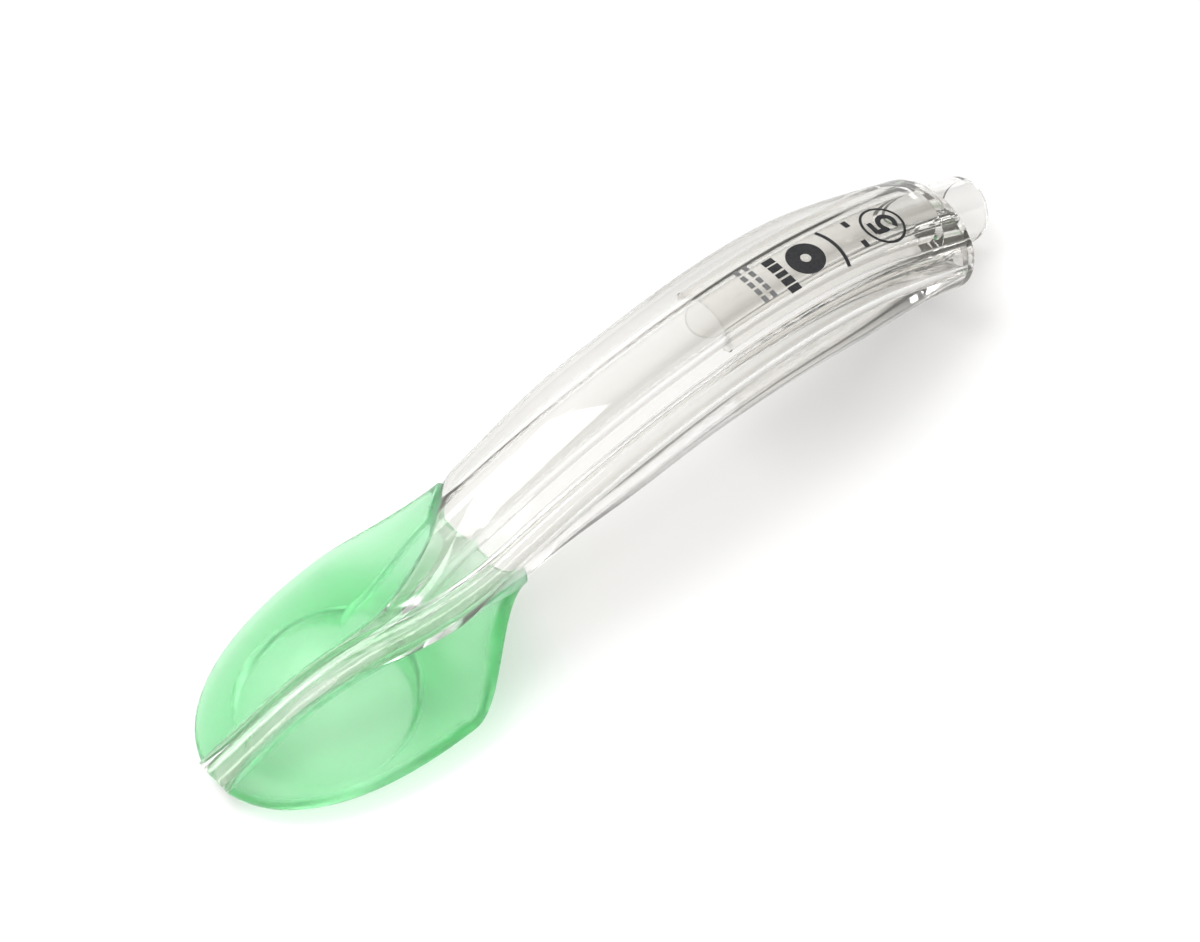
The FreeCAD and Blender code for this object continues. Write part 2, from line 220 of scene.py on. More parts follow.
def carve(thing: bpy.types.Object, cutters: list[bpy.types.Object]) -> bpy.types.Object:
    """Take the cutters out of a solid and keep the result as its mesh.

    Args:
        thing: the solid. cutters: solids that stay as they are.
    Returns:
        The same object.
    """
    for cutter in cutters:
        step = thing.modifiers.new(cutter.name, "BOOLEAN")
        step.operation, step.solver, step.object = "DIFFERENCE", "EXACT", cutter
    graph = bpy.context.evaluated_depsgraph_get()
    carved = bpy.data.meshes.new_from_object(thing.evaluated_get(graph))
    thing.modifiers.clear()
    thing.data = carved
    return finish_mesh(thing)


def place(thing: bpy.types.Object, material: bpy.types.Material, slot: Slot, *nodes: str) -> None:
    """Dress a piece, ride it on the body and hide the nodes it stands for."""
    thing.data.materials.clear()
    thing.data.materials.append(material)
    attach(thing, BODY)
    if nodes:
        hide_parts(*nodes)
    log.info("%s: %d faces", thing.name, len(thing.data.polygons))


def bond(thing: bpy.types.Object, material: bpy.types.Material) -> None:
    """Give the faces where the stem is bonded to the rigid tube their own finish."""
    faces = thing.data.polygons
    centre = np.empty(len(faces) * 3)
    faces.foreach_get("center", centre)
    thing.data.materials.append(material)
    faces.foreach_set("material_index", BORES.beside_tube(centre.reshape(-1, 3)).astype(np.int32))
    thing.data.update()


class Value:
    """A shader socket that adds a Math node when it stands in an expression."""

    def __init__(self, graph: "Graph", socket: bpy.types.NodeSocket | None) -> None:
        self.graph = graph
        self.socket = socket

    def maths(self, operation: str, *values: object) -> "Value":
        """Result of a Math node on these values."""
        return self.graph.node("ShaderNodeMath", {"operation": operation}, dict(enumerate(values)))

    def __add__(self, other: object) -> "Value":
        """Sum."""
        return self.maths("ADD", self, other)

    def __mul__(self, other: object) -> "Value":
        """Product."""
        return self.maths("MULTIPLY", self, other)

    def at_most(self, other: object) -> "Value":
        """The smaller of the two."""
        return self.maths("MINIMUM", self, other)


class Graph:
    """Node tree of a material or the world, filled through one method."""

    def __init__(self, tree: bpy.types.NodeTree) -> None:
        self.tree = tree
        self.tree.nodes.clear()

    def node(self, kind: str, settings: dict | None = None, inputs: dict | None = None,
             output: int | str = 0) -> Value:
        """Add a node.

        Args:
            kind: the node's type. settings: properties, or stops for a ramp. inputs: a value or a
                link for each socket, by name or number. output: which socket the result is.
        Returns:
            The output socket as a value.
        """
        made = self.tree.nodes.new(kind)
        for key, value in (settings or {}).items():
            if key == "stops":
                self.set_stops(made, value)
            else:
                setattr(made, key, value)
        for key, value in (inputs or {}).items():
            if isinstance(value, Value):
                self.tree.links.new(value.socket, made.inputs[key])
            else:
                made.inputs[key].default_value = value
        return Value(self, made.outputs[output]) if len(made.outputs) else Value(self, None)

    def set_stops(self, ramp: bpy.types.Node, stops: tuple[tuple[float, tuple[float, ...]], ...]) -> None:
        """Give a colour ramp its stops."""
        elements = ramp.color_ramp.elements
        while len(elements) < len(stops):
            elements.new(0.5)
        for element, (position, colour) in zip(elements, stops):
            element.position, element.color = position, colour

    def noise(self, scale: float, detail: float) -> Value:
        """Noise over the object's own coordinates, 0 to 1."""
        where = self.node("ShaderNodeTexCoord", output="Object")
        inputs = {"Vector": where, "Scale": scale, "Detail": detail}
        return self.node("ShaderNodeTexNoise", None, inputs, "Fac")

    def see_through(self, body: Value, veil: tuple[float, ...]) -> Value:
        """Let light fall through a clear body in a straight line.

        Args:
            body: the shader that is seen. veil: share of the light that each wall lets through.
        Returns:
            The mixed shader.
        """
        path = self.node("ShaderNodeLightPath").socket.node
        passing = Value(self, path.outputs["Is Shadow Ray"]) + Value(self, path.outputs["Is Diffuse Ray"])
        open_wall = self.node("ShaderNodeBsdfTransparent", None, {"Color": veil})
        return self.node("ShaderNodeMixShader", None, {0: passing.at_most(1.0), 1: body, 2: open_wall})


@dataclass(frozen=True)
class Clear:
    """Clear moulded plastic: glass with a trace of haze and the faint unevenness of a moulding."""

    name: str
    tint: tuple[float, ...] = (0.950, 0.945, 0.930, 1.0)
    haze_colour: tuple[float, ...] = (0.70, 0.685, 0.65, 1.0)
    veil: tuple[float, ...] = (0.80, 0.79, 0.775, 1.0)
    index: float = 1.45
    roughness: float = 0.05
    haze: float = 0.06
    ripple: float = 0.06
    ripple_scale: float = 90.0
    ripple_height: float = 0.0002
    grain_scale: float = 400.0
    haze_roughness: float = 0.35

    def build(self) -> bpy.types.Material:
        """Make the material."""
        material = bpy.data.materials.new(self.name)
        material.use_nodes = True
        graph = Graph(material.node_tree)
        ripple = graph.noise(self.ripple_scale, COARSE)
        bump = graph.node("ShaderNodeBump", None, {
            "Strength": self.ripple, "Distance": self.ripple_height, "Height": ripple})
        rough = graph.noise(self.grain_scale, FINE) * self.roughness + self.roughness / 2
        glass = graph.node("ShaderNodeBsdfPrincipled", None, {
            "Base Color": self.tint, "Roughness": rough, "IOR": self.index, "Transmission Weight": 1.0,
            "Normal": bump}, "BSDF")
        haze = graph.node("ShaderNodeBsdfPrincipled", None, {
            "Base Color": self.haze_colour, "Roughness": self.haze_roughness, "Normal": bump}, "BSDF")
        body = graph.node("ShaderNodeMixShader", None, {0: self.haze, 1: glass, 2: haze})
        graph.node("ShaderNodeOutputMaterial", None, {"Surface": graph.see_through(body, self.veil)})
        return material


@dataclass(frozen=True)
class Gel:
    """Translucent green gel: tinted glass with a milky body, deeper where it is thick."""

    name: str
    tint: tuple[float, ...] = (0.90, 0.985, 0.92, 1.0)
    milk: tuple[float, ...] = (0.36, 0.80, 0.47, 1.0)
    absorbed: tuple[float, ...] = (0.56, 0.92, 0.66, 1.0)
    veil: tuple[float, ...] = (0.78, 0.88, 0.80, 1.0)
    density: float = 95.0
    index: float = 1.3
    roughness: float = 0.20
    milkiness: float = 0.16
    milk_roughness: float = 0.22
    milk_depth: float = 0.004
    milk_spread: tuple[float, float, float] = (0.5, 1.0, 0.7)
    ripple: float = 0.2
    ripple_scale: float = 70.0
    ripple_height: float = 0.0003
    grain_scale: float = 500.0

    def build(self) -> bpy.types.Material:
        """Make the material."""
        material = bpy.data.materials.new(self.name)
        material.use_nodes = True
        graph = Graph(material.node_tree)
        ripple = graph.noise(self.ripple_scale, COARSE)
        bump = graph.node("ShaderNodeBump", None, {
            "Strength": self.ripple, "Distance": self.ripple_height, "Height": ripple})
        rough = graph.noise(self.grain_scale, FINE) * self.roughness + self.roughness / 2
        glass = graph.node("ShaderNodeBsdfPrincipled", None, {
            "Base Color": self.tint, "Roughness": rough, "IOR": self.index, "Transmission Weight": 1.0,
            "Normal": bump}, "BSDF")
        milk = graph.node("ShaderNodeBsdfPrincipled", None, {
            "Base Color": self.milk, "Roughness": self.milk_roughness, "Subsurface Weight": 1.0,
            "Subsurface Scale": self.milk_depth, "Subsurface Radius": self.milk_spread,
            "Normal": bump}, "BSDF")
        body = graph.node("ShaderNodeMixShader", None, {0: self.milkiness, 1: glass, 2: milk})
        depth = graph.node("ShaderNodeVolumeAbsorption", None, {
            "Color": self.absorbed, "Density": self.density})
        graph.node("ShaderNodeOutputMaterial", None, {"Surface": graph.see_through(body, self.veil),
                                                      "Volume": depth})
        return material


@dataclass(frozen=True)
class Ink:
    """Black pad print with slightly uneven cover."""

    name: str
    colour: tuple[float, ...] = (0.012, 0.012, 0.014, 1.0)
    worn: tuple[float, ...] = (0.05, 0.05, 0.052, 1.0)
    cover_scale: float = 1500.0
    roughness: float = 0.35
    unevenness: float = 0.2
    gloss: float = 0.15

    def build(self) -> bpy.types.Material:
        """Make the material."""
        material = bpy.data.materials.new(self.name)
        material.use_nodes = True
        graph = Graph(material.node_tree)
        cover = graph.noise(self.cover_scale, FINE)
        colour = graph.node("ShaderNodeMix", {"data_type": "RGBA"}, {
            0: cover, 6: self.colour, 7: self.worn}, 2)
        ink = graph.node("ShaderNodeBsdfPrincipled", None, {
            "Base Color": colour, "Roughness": cover * self.unevenness + self.roughness,
            "Specular IOR Level": self.gloss}, "BSDF")
        graph.node("ShaderNodeOutputMaterial", None, {"Surface": ink})
        return material


@dataclass(frozen=True)
class Bores:
    """Hollows that run through the pieces, as solids to cut with."""

    lumen_radius: float = 0.00615
    lumen_side: float = 0.0035
    tube_wall: float = 0.0013
    outlet_bend: float = math.radians(26.0)
    outlet_radius: float = 0.040
    outlet_run: float = 0.018
    drain_radius: float = 0.0028
    drain_offset: float = 0.0092
    drain_lift: float = 0.001
    drain_straight: float = 0.018
    drain_wall: float = 0.0015
    ahead: float = 0.022
    before: float = 0.004
    drain_points: int = 64
    lumen_points: int = 72
    seat_depth: float = 0.001
    reach_in: float = 0.0003
    reach_out: float = 0.00005
    inside_play: float = 0.0001
    outside_play: float = 0.0004

    def drain_side(self, run: np.ndarray) -> np.ndarray:
        """How far the drain lies off the middle: two equal arcs, tangent to each other and both runs."""
        length = SPINE.mask_length - self.drain_straight
        radius = length / 2 / math.sin(2 * math.atan(self.drain_offset / length))
        along = np.clip(run - self.drain_straight, 0.0, length)
        near = np.sqrt(radius ** 2 - np.minimum(along, length / 2) ** 2) - radius
        far = radius - np.sqrt(radius ** 2 - np.minimum(length - along, length / 2) ** 2) - self.drain_offset
        return np.where(along < length / 2, near, far)

    def drain(self) -> bpy.types.Object:
        """Bore of the gastric drain, from before the tip to past the connector's plate."""
        run = np.linspace(-self.before, SPINE.total + self.ahead, 150)
        return solid("cut_drain", SPINE.rings(run, self.drain_side(run), self.drain_lift, self.drain_radius,
                                              self.drain_radius, self.drain_points))

    def lumen(self) -> bpy.types.Object:
        """Bore of the breathing tube: along the spine, then an arc down and a straight run into the bowl."""
        run = np.linspace(SPINE.total + self.ahead, SPINE.mask_length, 110)
        radius = self.lumen_radius
        upper = SPINE.rings(run, self.lumen_side, 0.0, radius, radius, self.lumen_points)
        arc_length = self.outlet_radius * self.outlet_bend
        past = np.linspace(0.0, arc_length + self.outlet_run, 40)[1:]
        turned = np.minimum(past, arc_length) / self.outlet_radius
        root, climb = SPINE.at(np.array([SPINE.mask_length]))
        steep = climb[0] + turned
        beyond = np.maximum(past - arc_length, 0.0)
        x = root[0, 0] - self.outlet_radius * (np.sin(steep) - np.sin(climb[0])) - beyond * np.cos(steep)
        z = root[0, 2] + self.outlet_radius * (np.cos(steep) - np.cos(climb[0])) - beyond * np.sin(steep)
        centre = np.stack([x, 0 * x + root[0, 1] + self.lumen_side, z], -1)
        turn = turns(self.lumen_points)
        lower = (centre[:, None] + (radius * np.cos(turn))[:, None] * ACROSS
                 + (radius * np.sin(turn))[:, None] * SPINE.back(steep)[:, None])
        return solid("cut_lumen", np.concatenate([upper, lower]))

    def beside_tube(self, points: np.ndarray) -> np.ndarray:
        """Which points lie on the outside of the rigid tube or on its inner end.

        In the plane of the bend the distance from the tube's axis is the distance from the centre of the
        arc less the radius of the arc.
        Args:
            points: places in the rest frame.
        Returns:
            True where the rigid tube and the stem are bonded.
        """
        reach = SPINE.bite_length / SPINE.bite_bend
        ends, climb = SPINE.at(np.array([SPINE.shaft_end, SPINE.total]))
        middle = ends[0] - SPINE.back(climb)[0] * reach
        level = np.hypot(points[:, 0] - middle[0], points[:, 2] - middle[2]) - reach
        off = np.hypot(level, points[:, 1] - self.lumen_side)
        along = np.stack([np.cos(climb), 0 * climb, np.sin(climb)], -1)
        past_start = (points - ends[0]) @ along[0] > -self.reach_in
        before_end = (points - ends[1]) @ along[1] < -self.reach_out
        outer = self.lumen_radius + self.tube_wall + self.outside_play
        return past_start & before_end & (off > self.lumen_radius + self.inside_play) & (off < outer)

    def liner(self, grow: float = 0.0) -> np.ndarray:
        """Outside of the rigid tube in the bite block, as a grid."""
        run = np.linspace(SPINE.shaft_end, SPINE.total + self.seat_depth, 60)
        radius = self.lumen_radius + self.tube_wall + grow
        return SPINE.rings(run, self.lumen_side, 0.0, radius, radius)


BORES = Bores()


@dataclass(frozen=True)
class StemShape:
    """Outer form of the stem: a drain tube at the tip, a wedge in the mask, a shaft and a bite block."""

    wedge_start: float = 0.032
    root: tuple[float, float] = (0.0142, 0.0088)
    middle: tuple[float, float] = (0.0165, 0.0100)
    block: tuple[float, float] = (0.0175, 0.0105)
    end: tuple[float, float] = (0.0150, 0.0105)
    shaft_widest: float = 0.55
    bite_widest: float = 0.4
    soften: float = 0.004
    edge_share: float = 0.98

    def wedge(self, run: np.ndarray) -> np.ndarray:
        """Growth from the drain tube to the stem's root: the square of the share of the way."""
        return np.clip((run - self.wedge_start) / (SPINE.mask_length - self.wedge_start), 0.0, 1.0) ** 2

    def halves(self, run: np.ndarray) -> tuple[np.ndarray, np.ndarray]:
        """Half width and half thickness at a run, eased from one named section to the next."""
        tube = BORES.drain_radius + BORES.drain_wall
        places = (SPINE.mask_length, SPINE.mask_length + SPINE.shaft_length * self.shaft_widest,
                  SPINE.shaft_end + SPINE.bite_length * self.bite_widest, SPINE.total)
        sections = (self.root, self.middle, self.block, self.end)
        wedge = self.wedge(run)
        both = []
        for part in (0, 1):
            half = tube + (self.root[part] - tube) * wedge
            for start, finish, low, high in zip(places[:-1], places[1:], sections[:-1], sections[1:]):
                half = half + (high[part] - low[part]) * ease((run - start) / (finish - start))
            both.append(half)
        return both[0], both[1]

    def softened(self, run: np.ndarray) -> tuple[np.ndarray, ...]:
        """Side, lift and half sizes, each as the mean of three places close together."""
        rows = []
        for step in (-self.soften, 0.0, self.soften):
            near = np.minimum(run + step, SPINE.total)
            wedge = self.wedge(near)
            wide, thick = self.halves(near)
            rows.append((BORES.drain_side(near) * (1 - wedge), BORES.drain_lift * (1 - wedge), wide, thick))
        return tuple(np.mean(rows, axis=0))

    def grid(self, grow: float = 0.0, start: float = 0.0) -> np.ndarray:
        """Outer surface as rings.

        Args:
            grow: distance added all round. start: run of the first ring.
        Returns:
            The grid.
        """
        run = np.linspace(start, SPINE.total, 170)
        side, lift, wide, thick = self.softened(run)
        return SPINE.rings(run, side, lift, wide + grow, thick + grow)

    def on_top(self, run: np.ndarray, across: np.ndarray, rise: float) -> np.ndarray:
        """Points on the upper side of the stem, or a little over it.

        The height of an ellipse at a distance across is its half thickness times the root of one less
        the square of the distance over the half width.
        Args:
            run: distances from the tip. across: distances off the middle. rise: height over the skin.
        Returns:
            The points.
        """
        side, lift, wide, thick = self.softened(run)
        centre, climb = SPINE.at(run)
        share = np.clip((across - side) / wide, -self.edge_share, self.edge_share)
        up = np.sqrt(1 - share ** 2)
        normal = np.stack([share / wide, up / thick], -1)
        normal /= np.linalg.norm(normal, axis=-1, keepdims=True)
        aside = across + rise * normal[..., 0]
        over = lift + thick * up + rise * normal[..., 1]
        return centre + aside[..., None] * ACROSS + over[..., None] * SPINE.back(climb)


SHAPE = StemShape()


@dataclass(frozen=True)
class Mask:
    """Gel mask: a leaf-shaped body on its rim plane, hollowed by a bowl, moulded round the stem."""

    width: float = 0.053
    nose_round: float = 0.008
    flare_growth: float = 0.5
    nose_thickness: float = 0.25
    heel: float = 0.048
    rim_height: float = 0.009
    collar: float = 0.0006
    crown_drop: float = 0.001
    valley: float = 0.8
    valley_growth: float = 0.7
    bowl_start: float = 0.008
    bowl_end: float = 0.051
    bowl_depth: float = 0.0096
    bowl_tilt: float = math.radians(14.0)
    rim_wall: float = 0.008
    gap: float = 0.00004
    ahead: float = 0.0006
    nose_cut: float = 0.12
    pole_cut: float = 0.02
    ring_points: int = 160

    def grid(self) -> np.ndarray:
        """Outer surface as rings square to the length.

        Across is cos a (1 - lean sin a), scaled to the half width; height is the middle plus the half
        height times sin a. The half width grows as the sine of the root of the distance from the nose, up
        to the heels, and eases back to the stem.
        Returns:
            The grid.
        """
        root_x = SPINE.mask_length * math.cos(SPINE.slope)
        root_z = SPINE.tip_height + SPINE.mask_length * math.sin(SPINE.slope)
        near = self.nose_round * (1 - np.cos(np.linspace(self.nose_cut, math.pi / 2, 26)))
        x = np.concatenate([near, np.linspace(self.nose_round, root_x, 110)[1:]])
        back = ease((x - self.heel) / (root_x - self.heel))
        grown = np.minimum(x / self.heel, 1.0)
        flare = self.width / 2 * np.sin(math.pi / 2 * grown ** self.flare_growth)
        nose = np.sqrt(1 - np.maximum(0.0, 1 - x / self.nose_round) ** 2)
        root_half, stem_half = SHAPE.root[0] + self.collar, SHAPE.root[1]
        half_width = flare * (1 - back) + root_half * back
        spine_z = SPINE.tip_height + x * math.tan(SPINE.slope)
        low = self.rim_height - SPINE.tip_height
        crown = spine_z + low * (1 - back) + (stem_half - self.crown_drop) * back
        floor = (root_z - stem_half - self.collar) * back
        half_height = (crown - floor) / 2 * (self.nose_thickness + (1 - self.nose_thickness) * nose)
        lean = (self.valley * grown ** self.valley_growth * (1 - back))[:, None]
        turn = turns(self.ring_points)
        across = np.cos(turn) * (1 - lean * np.sin(turn))
        across = across / across.max(axis=1, keepdims=True) * half_width[:, None]
        height = ((crown + floor) / 2)[:, None] + half_height[:, None] * np.sin(turn)
        return SPINE.lay(np.broadcast_to(x[:, None], across.shape), across, height)

    def bowl(self) -> bpy.types.Object:
        """Hollow of the mask: an ellipsoid with its middle in the rim plane, tilted up to the heels."""
        polar = np.linspace(self.pole_cut, math.pi - self.pole_cut, 60)[:, None]
        turn = turns(RING_POINTS)
        long_half = (self.bowl_end - self.bowl_start) / 2
        wide_half = self.width / 2 - self.rim_wall
        x = long_half * np.sin(polar) * np.cos(turn)
        z = self.bowl_depth * np.sin(polar) * np.sin(turn)
        y = wide_half * np.cos(polar) + 0 * turn
        cos, sin = math.cos(self.bowl_tilt), math.sin(self.bowl_tilt)
        middle = (self.bowl_start + self.bowl_end) / 2
        return solid("cut_bowl", SPINE.lay(middle + x * cos - z * sin, y, x * sin + z * cos))

    def build(self, finish: Gel, lumen: bpy.types.Object, bowl: bpy.types.Object) -> None:
        """Carve the mask and dress it."""
        mask = solid("gel_mask", self.grid())
        stem = solid("cut_stem", SHAPE.grid(self.gap, -self.ahead))
        carve(mask, [stem, lumen, bowl])
        bpy.data.objects.remove(stem)
        place(mask, finish.build(), Slot.GEL, "mask_cuff")


@dataclass(frozen=True)
class Stem:
    """Soft clear stem with its two channels, open at the bowl and at the tip."""

    gap: float = 0.00004

    def build(self, finish: Clear, bonded: bpy.types.Material, cutters: list[bpy.types.Object]) -> None:
        """Carve the stem and dress it."""
        stem = solid("clear_stem", SHAPE.grid())
        liner = solid("cut_liner", BORES.liner(self.gap))
        carve(stem, [liner, *cutters])
        bpy.data.objects.remove(liner)
        place(stem, finish.build(), Slot.STEM, "airway_stem")
        bond(stem, bonded)


@dataclass(frozen=True)
class Connector:
    """Rigid insert: a tube in the bite block, an end plate and the 15 mm cone."""

    plate: float = 0.003
    edge: float = 0.001
    plate_half: tuple[float, float] = (0.0150, 0.0105)
    cone_length: float = 0.017
    tip_radius: float = 0.0076
    ratio: float = 40.0
    lip: float = 0.0005
    bevel: float = 0.0002
    seat: float = 0.00002
    sunk: float = 0.001

    def plate_grid(self) -> np.ndarray:
        """End plate: an oval whose outer edge is rounded by a quarter circle."""
        turn = np.linspace(0.0, math.pi / 2, 8)
        run = np.concatenate([[0.0, self.bevel], self.plate - self.edge + self.edge * np.sin(turn)])
        inset = np.concatenate([[self.bevel, 0.0], self.edge * (1 - np.cos(turn))])
        wide, thick = self.plate_half
        return SPINE.rings(SPINE.total + self.seat + run, 0.0, 0.0, wide - inset, thick - inset)

    def cone_grid(self) -> np.ndarray:
        """Cone with a rounded free edge: the radius shrinks by the run over twice the ratio."""
        turn = np.linspace(0.0, math.pi / 2, 6)[1:]
        length = self.plate + self.cone_length
        straight = np.linspace(self.sunk, length - self.lip, 24)
        run = np.concatenate([straight, length - self.lip + self.lip * np.sin(turn)])
        radius = self.tip_radius + (length - run) / self.ratio / 2
        radius[-len(turn):] -= self.lip * (1 - np.cos(turn))
        return SPINE.rings(SPINE.total + run, BORES.lumen_side, 0.0, radius, radius)

    def build(self, finish: Clear, bonded: bpy.types.Material, cutters: list[bpy.types.Object]) -> None:
        """Join the plate, the cone and the tube, bore them and dress the result."""
        whole = solid("clear_connector", self.plate_grid())
        others = [solid("join_cone", self.cone_grid()), solid("join_tube", BORES.liner())]
        for other in others:
            step = whole.modifiers.new(other.name, "BOOLEAN")
            step.operation, step.solver, step.object = "UNION", "EXACT", other
        carve(whole, cutters)
        for other in others:
            bpy.data.objects.remove(other)
        place(whole, finish.build(), Slot.RIGID, "connector_tube")
        bond(whole, bonded)


@dataclass(frozen=True)
class Print:
    """Pad print on the upper side by the bite block: a plain numeral in a ring, marks and bars."""

    rise: float = 0.00006
    sink: float = 0.00004
    ring: tuple[float, float, float] = (0.1852, -0.0013, 0.0049)
    disc: tuple[float, float, float] = (0.1640, -0.0003, 0.0027)
    disc_width: float = 0.0031
    line_width: float = 0.0006
    numeral_half: tuple[float, float] = (0.0019, 0.0029)
    numeral_width: float = 0.0012
    depth_line: tuple[float, float, float] = (0.1712, 0.0042, -0.0068)
    depth_bow: float = 0.0011
    marks: tuple[float, float] = (0.0026, -0.0038)
    marks_run: float = 0.1778
    bars_run: float = 0.1570
    bars_from: float = 0.0034
    bars_step: float = -0.0021
    mark_size: tuple[float, float] = (0.0019, 0.0013)
    bar_lengths: tuple[float, ...] = (0.0016, 0.0018, 0.0013, 0.0018, 0.0016)
    bar_width: float = 0.0027
    dashes_run: tuple[float, float] = (0.1524, 0.1502)
    dashes_from: float = 0.0052
    dashes_step: float = -0.0022
    dashes: int = 5
    dash_size: tuple[float, float] = (0.0016, 0.0011)
    depth_weight: float = 1.4

    def stroke(self, name: str, run: np.ndarray, across: np.ndarray, width: float,
               looped: bool = False) -> bpy.types.Object:
        """Flat stroke of ink along a line on the skin of the stem.

        Args:
            name: the piece's name. run, across: the line. width: the stroke's width. looped: whether
                the line closes on itself.
        Returns:
            The closed piece.
        """
        line = np.stack([run, across], -1)
        step = np.roll(line, -1, axis=0) - np.roll(line, 1, axis=0)
        if not looped:
            step = np.gradient(line, axis=0)
        step = step / np.linalg.norm(step, axis=-1, keepdims=True) * width / 2
        profile = [(side, self.rise) for side in (-1, 0, 1)] + [(side, -self.sink) for side in (1, -1)]
        corners = [SHAPE.on_top(run - side * step[:, 1], across + side * step[:, 0], rise)
                   for side, rise in profile]
        return solid(name, np.stack(corners, 1), looped)

    def circle(self, name: str, spot: tuple[float, float, float], width: float) -> bpy.types.Object:
        """Ring of ink: run and distance across of its middle, and its radius."""
        run, across, radius = spot
        turn = turns(RING_POINTS)
        return self.stroke(name, run + radius * np.cos(turn), across + radius * np.sin(turn), width, True)

    def numeral(self) -> list[bpy.types.Object]:
        """The figure 5 with its top towards the mask: one stroke for stem and bowl, one for the bar."""
        turn = np.radians(np.linspace(148.0, -142.0, 40))
        right = np.concatenate([np.linspace(-0.72, -0.85, 12), np.cos(turn)])
        up = np.concatenate([np.linspace(1.0, 0.08, 12), -0.36 + 0.66 * np.sin(turn)])
        bar = np.linspace(-0.85, 0.85, 8)
        strokes = []
        for name, sideways, upright in (("five_bowl", right, up), ("five_bar", bar, 0 * bar + 1.0)):
            strokes.append(self.stroke(name, self.ring[0] - self.numeral_half[1] * upright,
                                       self.ring[1] + self.numeral_half[0] * sideways, self.numeral_width))
        return strokes

    def dash(self, name: str, run: float, middle: float, length: float, width: float) -> bpy.types.Object:
        """Straight stroke that lies across the stem."""
        across = middle + np.linspace(-length, length, 6) / 2
        return self.stroke(name, run + 0 * across, across, width)

    def build(self, ink: bpy.types.Material, faint: bpy.types.Material) -> None:
        """Print the marks, the dark ones and the faint ones."""
        middle, start, end = self.depth_line
        span = np.linspace(start, end, 24)
        bow = self.depth_bow * (1 - np.linspace(-1, 1, 24) ** 2)
        weight = self.line_width * self.depth_weight
        dark = [self.circle("ring", self.ring, self.line_width),
                self.circle("disc", self.disc, self.disc_width),
                self.stroke("depth", middle - self.depth_bow / 2 + bow, span, weight)]
        dark += self.numeral()
        dark += [self.dash("mark", self.marks_run, across, *self.mark_size) for across in self.marks]
        for count, length in enumerate(self.bar_lengths):
            across = self.bars_from + count * self.bars_step
            dark.append(self.dash("bar", self.bars_run, across, length, self.bar_width))
        light = [self.dash("dash", run, self.dashes_from + count * self.dashes_step, *self.dash_size)
                 for run in self.dashes_run for count in range(self.dashes)]
        place(gather("print_dark", dark), ink, Slot.INK)
        place(gather("print_faint", light), faint, Slot.INK)


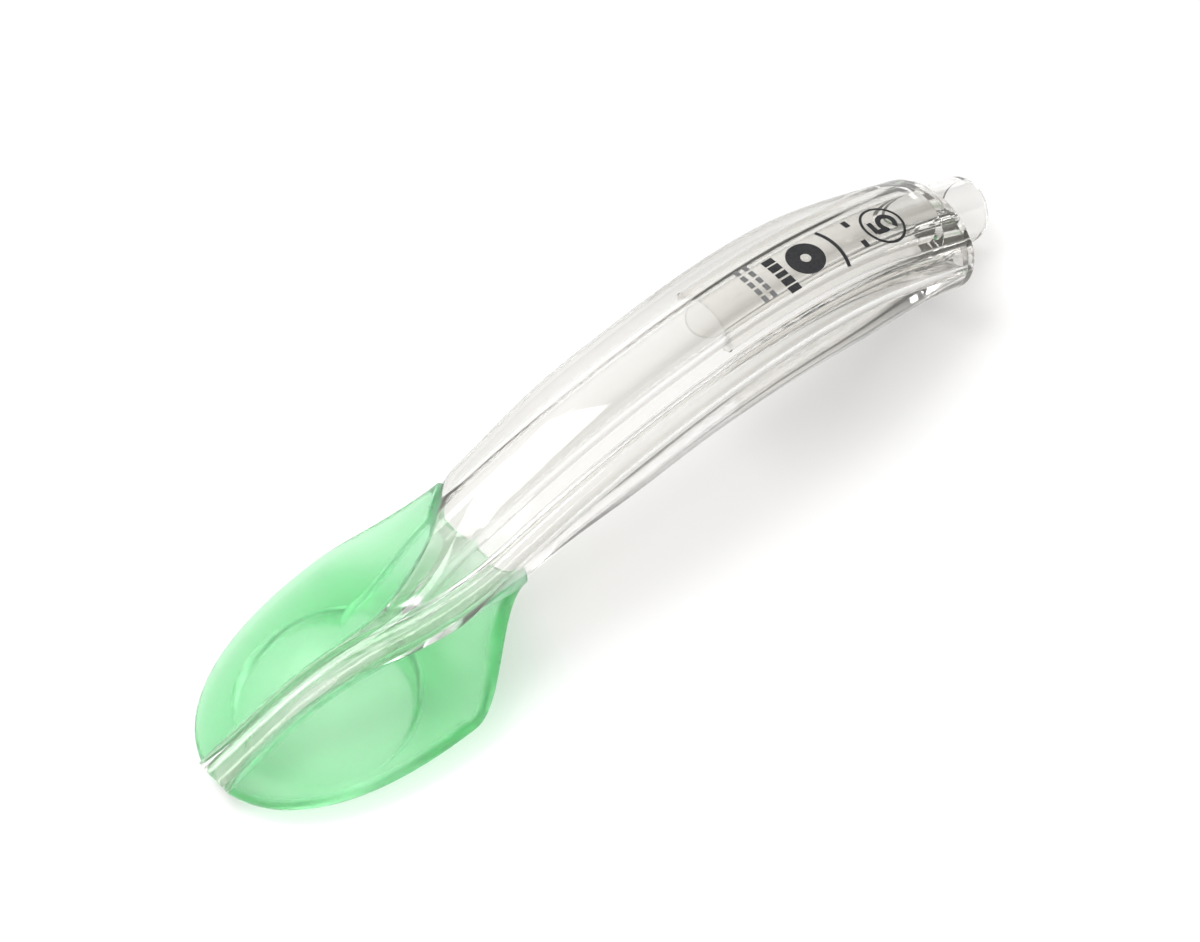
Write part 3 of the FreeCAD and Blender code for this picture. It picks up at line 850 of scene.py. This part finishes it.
@dataclass(frozen=True)
class Studio:
    """Pale floor, soft light and the camera at the photograph's viewing angle."""

    azimuth: float = math.radians(-41.2)
    elevation: float = math.radians(56.6)
    distance: float = 1.0045
    lens: float = 140.7
    aim: tuple[float, float, float] = (0.0, 0.0, 0.0)
    aim_right: float = -0.0025
    aim_up: float = 0.0064
    floor_half: float = 1.5
    floor_glow: float = 0.25
    floor_colour: tuple[float, ...] = (0.88, 0.88, 0.88, 1.0)
    sensor: float = 36.0
    clip: tuple[float, float] = (0.01, 20.0)
    surround: float = 0.62
    band: tuple[tuple[float, tuple[float, ...]], ...] = (
        (0.0, (0.03, 0.03, 0.025, 1)), (0.30, (0.10, 0.10, 0.09, 1)), (0.55, (0.78, 0.775, 0.76, 1)),
        (1.0, WHITE))

    def build(self) -> None:
        """Make everything that isn't the airway."""
        self.build_camera()
        self.build_floor()
        self.build_world()
        self.build_lamp("key", (-0.15, 0.45, 0.95), 0.55, 9.0)
        self.build_lamp("fill", (-0.75, -0.35, 0.75), 0.6, 3.0)
        bpy.context.scene.view_settings.view_transform = "Standard"

    def build_camera(self) -> None:
        """Camera that looks down at the airway."""
        data = bpy.data.cameras.new("camera")
        data.lens, data.sensor_width = self.lens, self.sensor
        data.clip_start, data.clip_end = self.clip
        camera = bpy.data.objects.new("camera", data)
        bpy.context.scene.collection.objects.link(camera)
        cos, sin = math.cos(self.elevation), math.sin(self.elevation)
        back = Vector((math.sin(self.azimuth) * cos, -math.cos(self.azimuth) * cos, sin))
        right = Vector((math.cos(self.azimuth), math.sin(self.azimuth), 0.0))
        target = Vector(self.aim) + right * self.aim_right + back.cross(right) * self.aim_up
        camera.location = target + back * self.distance
        camera.rotation_mode = "QUATERNION"
        camera.rotation_quaternion = (-back).to_track_quat("-Z", "Y")
        bpy.context.scene.camera = camera

    def build_floor(self) -> None:
        """Wide pale floor that shows white but keeps the shadow."""
        half = self.floor_half
        mesh = bpy.data.meshes.new("floor")
        corners = [(-half, -half, 0), (half, -half, 0), (half, half, 0), (-half, half, 0)]
        mesh.from_pydata(corners, [], [(0, 1, 2, 3)])
        floor = link("floor", mesh)
        material = bpy.data.materials.new("floor")
        material.use_nodes = True
        graph = Graph(material.node_tree)
        path = graph.node("ShaderNodeLightPath").socket.node
        seen, gloss, through = (Value(graph, path.outputs[key])
                                for key in ("Is Camera Ray", "Is Glossy Ray", "Is Transmission Ray"))
        share = (seen + gloss + through).at_most(1.0) * self.floor_glow
        matt = graph.node("ShaderNodeBsdfDiffuse", None, {"Color": self.floor_colour})
        glow = graph.node("ShaderNodeEmission", None, {"Color": WHITE, "Strength": 1.0})
        mixed = graph.node("ShaderNodeMixShader", None, {0: share, 1: matt, 2: glow})
        graph.node("ShaderNodeOutputMaterial", None, {"Surface": mixed})
        mesh.materials.append(material)

    def build_world(self) -> None:
        """Soft surround: white to the eye, pale above and darker low down in glass."""
        world = bpy.data.worlds.new("studio")
        bpy.context.scene.world = world
        world.use_nodes = True
        graph = Graph(world.node_tree)
        path = graph.node("ShaderNodeLightPath").socket.node
        seen, gloss, through = (Value(graph, path.outputs[key])
                                for key in ("Is Camera Ray", "Is Glossy Ray", "Is Transmission Ray"))
        where = graph.node("ShaderNodeTexCoord", output="Generated")
        height = graph.node("ShaderNodeSeparateXYZ", None, {0: where}, 2)
        band = graph.node("ShaderNodeValToRGB", {"stops": self.band}, {0: height})
        plain = graph.node("ShaderNodeBackground", None, {"Color": WHITE, "Strength": self.surround})
        mirrored = graph.node("ShaderNodeBackground", None, {"Color": band, "Strength": 1.0})
        white = graph.node("ShaderNodeBackground", None, {"Color": WHITE, "Strength": 1.0})
        bounced = (gloss + through).at_most(1.0)
        inner = graph.node("ShaderNodeMixShader", None, {0: bounced, 1: plain, 2: mirrored})
        surface = graph.node("ShaderNodeMixShader", None, {0: seen, 1: inner, 2: white})
        graph.node("ShaderNodeOutputWorld", None, {"Surface": surface})

    def build_lamp(self, name: str, spot: tuple[float, float, float], size: float, power: float) -> None:
        """Square soft box that faces the airway."""
        data = bpy.data.lights.new(name, "AREA")
        data.size, data.energy = size, power
        lamp = bpy.data.objects.new(name, data)
        bpy.context.scene.collection.objects.link(lamp)
        lamp.location = spot
        lamp.rotation_mode = "QUATERNION"
        lamp.rotation_quaternion = (-Vector(spot)).to_track_quat("-Z", "Y")


def main() -> None:
    """Build the studio and the airway."""
    logging.basicConfig(level=logging.INFO, format="%(message)s")
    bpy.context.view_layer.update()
    Studio().build()
    lumen, drain = BORES.lumen(), BORES.drain()
    mask = Mask()
    bowl = mask.bowl()
    mask.build(Gel("green gel"), lumen, bowl)
    bonded = Clear("bonded wall", index=1.02, roughness=0.0, haze=0.0, ripple=0.0).build()
    Stem().build(Clear("clear elastomer"), bonded, [lumen, drain, bowl])
    Connector().build(Clear("clear rigid", index=1.5, roughness=0.02, haze=0.05, ripple=0.02), bonded,
                      [lumen, drain])
    faint = Ink("faint ink", colour=(0.08, 0.08, 0.08, 1.0), worn=(0.22, 0.22, 0.22, 1.0))
    Print().build(Ink("ink").build(), faint.build())
    for cutter in (lumen, drain, bowl):
        bpy.data.objects.remove(cutter)


if __name__ == "__main__":
    main()
